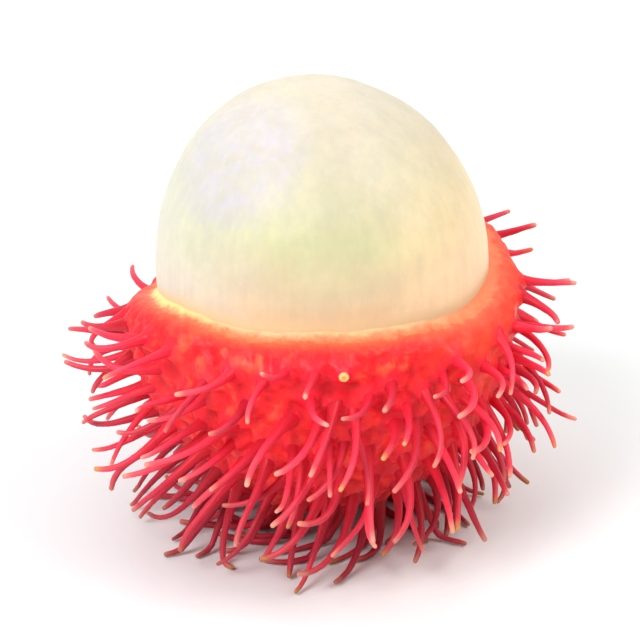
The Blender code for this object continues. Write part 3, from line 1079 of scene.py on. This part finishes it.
def make_floor(settings):
    mesh = bpy.data.meshes.new("floor")
    half = FLOOR_SIZE / 2
    corners = [(-half, -half, 0), (half, -half, 0), (half, half, 0), (-half, half, 0)]
    mesh.from_pydata(corners, [], [(0, 1, 2, 3)])
    material, _, shader = new_material("studio_floor")
    set_inputs(shader, {"Base Color": opaque(settings.floor), "Roughness": 0.6})
    mesh.materials.append(material)
    new_object("floor", mesh)


def make_lamps(settings, target):
    for name, azimuth, elevation, distance, size, power, tint in STUDIO_LIGHTS:
        lamp = bpy.data.lights.new(name, "AREA")
        lamp.shape = "SQUARE"
        lamp.size = size
        lamp.energy = power * settings.brightness
        lamp.color = tint
        aimed(name, lamp, target + direction(azimuth, elevation) * distance, target)


def make_surround(settings):
    """The light from all round, stronger overhead and behind the fruit, and plain view colours."""
    world = bpy.data.worlds.new("studio")
    world.use_nodes = True
    tree = world.node_tree
    sky = add_node(tree, "ShaderNodeTexCoord").outputs["Generated"]
    apart = add_node(tree, "ShaderNodeSeparateXYZ", {0: sky}).outputs
    above = ranged(apart["Z"], 0.0, 1.0, settings.horizon_strength, settings.zenith_strength)
    behind = ranged(apart["Y"], 0.1, 1.0, 0.0, settings.back_strength)
    light = {"Color": opaque(settings.surround), "Strength": added(above, behind)}
    set_inputs(tree.nodes["Background"], light)
    bpy.context.scene.world = world
    bpy.context.scene.view_settings.view_transform = "Standard"


def make_camera():
    """Looks down on the front, from far enough away that the fruit fills FRUIT_SHARE."""
    low, high = CAD_BOX
    across = (high.x - low.x) / FRUIT_SHARE
    camera = bpy.data.cameras.new("camera")
    camera.lens = CAMERA_LENS
    camera.sensor_width = CAMERA_SENSOR
    distance = across * CAMERA_LENS / CAMERA_SENSOR
    back = direction(0, CAMERA_ELEVATION)
    target = (low + high) / 2 + Vector((0, 0, CAMERA_AIM_DROP))
    camera.clip_start = 0.01
    bpy.context.scene.camera = aimed("camera", camera, target + back * distance, target)


# Settings, operators and panel


def size_setting(name, default, description):
    limits = {"default": default, "min": 0.0, "precision": 5}
    return FloatProperty(name=name, description=description, subtype="DISTANCE", unit="LENGTH", **limits)


def colour_setting(name, default, description):
    return FloatVectorProperty(
        name=name, description=description, default=default, min=0.0, max=1.0, size=3, subtype="COLOR"
    )


def factor_setting(name, default, description):
    return FloatProperty(name=name, description=description, default=default, min=0.0)


class RindSettings(bpy.types.PropertyGroup):
    """Sizes and colours of the rind's skin."""

    mound_height: size_setting("Mound height", 1.0 * MM, "How far the skin rises to a spine's foot")
    mound_width: size_setting("Mound width", 1.25 * MM, "How wide that rise is")
    furrow_depth: size_setting("Furrow depth", 0.06 * MM, "Depth of the furrows half way between spines")
    furrow_width: size_setting("Furrow width", 0.60 * MM, "Width of those furrows")
    lump_height: size_setting("Lump height", 0.24 * MM, "Height of the pebbling all over the skin")
    lump_size: size_setting("Lump size", 1.7 * MM, "Width of that pebbling")
    red: colour_setting("Red", (0.99, 0.016, 0.020), "The skin's main colour")
    # Orange red also serves as painted light on raised patches and on the right below the cut, and deep
    # red as painted shade on low patches.
    orange_red: colour_setting("Orange red", (0.98, 0.085, 0.035), "Lighter, raised patches of the skin")
    deep_red: colour_setting("Deep red", (0.70, 0.005, 0.014), "Darker, lower patches")
    # Painted shade round the spines' feet.
    crimson: colour_setting("Crimson", (0.82, 0.013, 0.036), "Round the spines' feet")
    orange: colour_setting("Orange", (0.94, 0.115, 0.056), "The smooth shoulder below the cut")
    peach: colour_setting("Peach", (0.93, 0.225, 0.100), "Next to the cut")
    cut_edge: colour_setting("Cut edge", (0.95, 0.48, 0.235), "The cut, where it is darker")
    cut_cream: colour_setting("Cut cream", (1.0, 0.66, 0.25), "The cut, where it is pale")
    inside: colour_setting("Inside", (0.93, 0.80, 0.62), "The rind's inner wall")
    scar_ring: colour_setting("Scar ring", (0.55, 0.22, 0.04), "The ring of the stalk's scar")
    scar_pit: colour_setting("Scar pit", (0.09, 0.03, 0.01), "The pit of the stalk's scar")


class SpineSettings(bpy.types.PropertyGroup):
    """Thickness and colours of the spines."""

    thickness: factor_setting("Thickness", 1.0, "Scales every spine's radius")
    sides: IntProperty(name="Sides", default=10, min=3, max=24, description="Faces round a spine")
    unevenness: size_setting("Unevenness", 0.14 * MM, "How far the shafts bulge and narrow")
    lump_size: size_setting("Lump size", 1.3 * MM, "Length of those bulges")
    # Foot and Lower shaft are partly painted shade where a spine leaves the skin.
    foot: colour_setting("Foot", (0.70, 0.010, 0.028), "Where a spine leaves the skin")
    shaft_low: colour_setting("Lower shaft", (0.76, 0.020, 0.048), "The thick part of the shaft")
    shaft: colour_setting("Shaft", (0.80, 0.034, 0.078), "The middle of the shaft")
    shaft_high: colour_setting("Upper shaft", (0.86, 0.078, 0.112), "Towards the tip")
    tip: colour_setting("Tip", (0.96, 0.40, 0.28), "The blunt tip")
    tip_green: colour_setting("Green tip", (0.66, 0.38, 0.10), "The tip of a few greener spines")
    snapped: colour_setting("Snapped end", (0.93, 0.55, 0.16), "The broken end of the snapped spine")
    snapped_middle: colour_setting("Snapped middle", (0.88, 0.24, 0.06), "The middle of that end")


class FleshSettings(bpy.types.PropertyGroup):
    """Form and colours of the flesh."""

    dents: size_setting("Dents", 0.12 * MM, "How far the flesh departs from a true egg")
    # Warm partly as painted light bounced from the red rind.
    rim: colour_setting("At the rind", (0.80, 0.52, 0.28), "Just inside the cut")
    low: colour_setting("Low", (0.62, 0.50, 0.325), "Above the cut")
    middle: colour_setting("Middle", (0.55, 0.537, 0.318), "Half way up")
    top: colour_setting("Top", (0.548, 0.505, 0.405), "The crown")
    # Painted light along the lip, over the shade of the crease.
    lip_painted_light: colour_setting("At the lip", (0.72, 0.545, 0.295), "A narrow band where the rind touches it")
    # Painted reflection on the left.
    left_painted_reflection: colour_setting("Cool side", (0.57, 0.56, 0.49), "On the left")
    # Painted warm light on the right.
    right_painted_warm_light: colour_setting("Warm side", (0.92, 0.67, 0.42), "On the right, where the light is warmer")
    # Painted highlight: the whitish patch on the upper left, for the lamps' soft reflection.
    painted_highlight: colour_setting("Film", (0.52, 0.495, 0.525), "A drier, whiter patch")


class StudioSettings(bpy.types.PropertyGroup):
    """The floor and the light."""

    floor: colour_setting("Floor", (0.75, 0.785, 0.795), "The floor's colour")
    surround: colour_setting("Surround", (1.0, 1.0, 1.0), "The light from all round")
    horizon_strength: factor_setting("Horizon", 0.20, "Its strength at the horizon")
    zenith_strength: factor_setting("Zenith", 0.72, "Its strength overhead")
    back_strength: factor_setting("Back", 0.6, "What is added to it behind the fruit")
    brightness: factor_setting("Lamps", 1.0, "Scales every lamp's power")


class RAMBUTAN_OT_rind_skin(bpy.types.Operator):
    """Builds the rind's skin, with its cut edge, its mounds and the stalk's scar"""

    bl_idname = "rambutan.rind_skin"
    bl_label = "Rind skin"

    def execute(self, context):
        settings = context.scene.rambutan_rind
        mesh = skin_mesh(settings, all_spine_lines(), context.scene.rambutan_flesh.dents)
        place_piece("rind_skin", mesh, skin_material(settings), "rind")
        return {"FINISHED"}


class RAMBUTAN_OT_spines(bpy.types.Operator):
    """Grows the whole spines along their centre lines"""

    bl_idname = "rambutan.spines"
    bl_label = "Spines"

    def execute(self, context):
        settings = context.scene.rambutan_spines
        material = spine_material(settings)
        inputs = {
            "Thickness": settings.thickness,
            "Sides": settings.sides,
            "Unevenness": settings.unevenness,
            "Lump size": settings.lump_size,
            "Seed": float(SPINE_TINT_SEED),
            "Finish": material,
        }
        mesh = grown(spine_guides(all_spine_lines()), spine_tree(), inputs)
        if not mesh.polygons:
            raise RuntimeError("no spine grew")
        press_flat(mesh)
        place_piece("spines", mesh, material, "rind")
        return {"FINISHED"}


class RAMBUTAN_OT_snapped_spine(bpy.types.Operator):
    """Builds the stump of the one spine that is snapped off"""

    bl_idname = "rambutan.snapped_spine"
    bl_label = "Snapped spine"

    def execute(self, context):
        settings = context.scene.rambutan_spines
        mesh = stump_mesh(spine_lines()[SNAPPED_SPINE])
        place_piece("snapped_spine", mesh, stump_material(settings), "rind")
        return {"FINISHED"}


class RAMBUTAN_OT_flesh(bpy.types.Operator):
    """Builds the flesh that stands in the rind"""

    bl_idname = "rambutan.flesh"
    bl_label = "Flesh"

    def execute(self, context):
        settings = context.scene.rambutan_flesh
        place_piece("aril_flesh", flesh_mesh(settings), flesh_material(settings), "aril")
        return {"FINISHED"}


class RAMBUTAN_OT_stage(bpy.types.Operator):
    """Sets the floor, the lamps, the surround and the camera"""

    bl_idname = "rambutan.stage"
    bl_label = "Stage"

    def execute(self, context):
        settings = context.scene.rambutan_studio
        make_floor(settings)
        make_lamps(settings, fruit_shift() + Vector((0, 0, CENTRE_HEIGHT)))
        make_surround(settings)
        make_camera()
        return {"FINISHED"}


class RAMBUTAN_PT_panel(bpy.types.Panel):
    """Lists the fruit's settings and the steps that build it"""

    bl_idname = "RAMBUTAN_PT_panel"
    bl_label = "Opened rambutan"
    bl_space_type = "VIEW_3D"
    bl_region_type = "UI"
    bl_category = "Rambutan"

    def draw(self, context):
        for group, (kind, *steps) in STEPS.items():
            box = self.layout.box()
            for name in kind.__annotations__:
                box.prop(getattr(context.scene, group), name)
            for step in steps:
                box.operator(step.bl_idname)


STEPS = {  # each group of settings, and the steps that follow it
    "rambutan_rind": (RindSettings, RAMBUTAN_OT_rind_skin),
    "rambutan_spines": (SpineSettings, RAMBUTAN_OT_spines, RAMBUTAN_OT_snapped_spine),
    "rambutan_flesh": (FleshSettings, RAMBUTAN_OT_flesh),
    "rambutan_studio": (StudioSettings, RAMBUTAN_OT_stage),
}
CLASSES = [kind for kinds in STEPS.values() for kind in kinds] + [RAMBUTAN_PT_panel]


def register():
    for kind in CLASSES:
        bpy.utils.register_class(kind)
    for group, kinds in STEPS.items():
        setattr(bpy.types.Scene, group, PointerProperty(type=kinds[0]))


def unregister():
    for group in STEPS:
        delattr(bpy.types.Scene, group)
    for kind in reversed(CLASSES):
        bpy.utils.unregister_class(kind)


def main():
    register()
    bpy.ops.rambutan.rind_skin()
    bpy.ops.rambutan.spines()
    bpy.ops.rambutan.snapped_spine()
    bpy.ops.rambutan.flesh()
    bpy.ops.rambutan.stage()


if __name__ == "__main__":
    main()
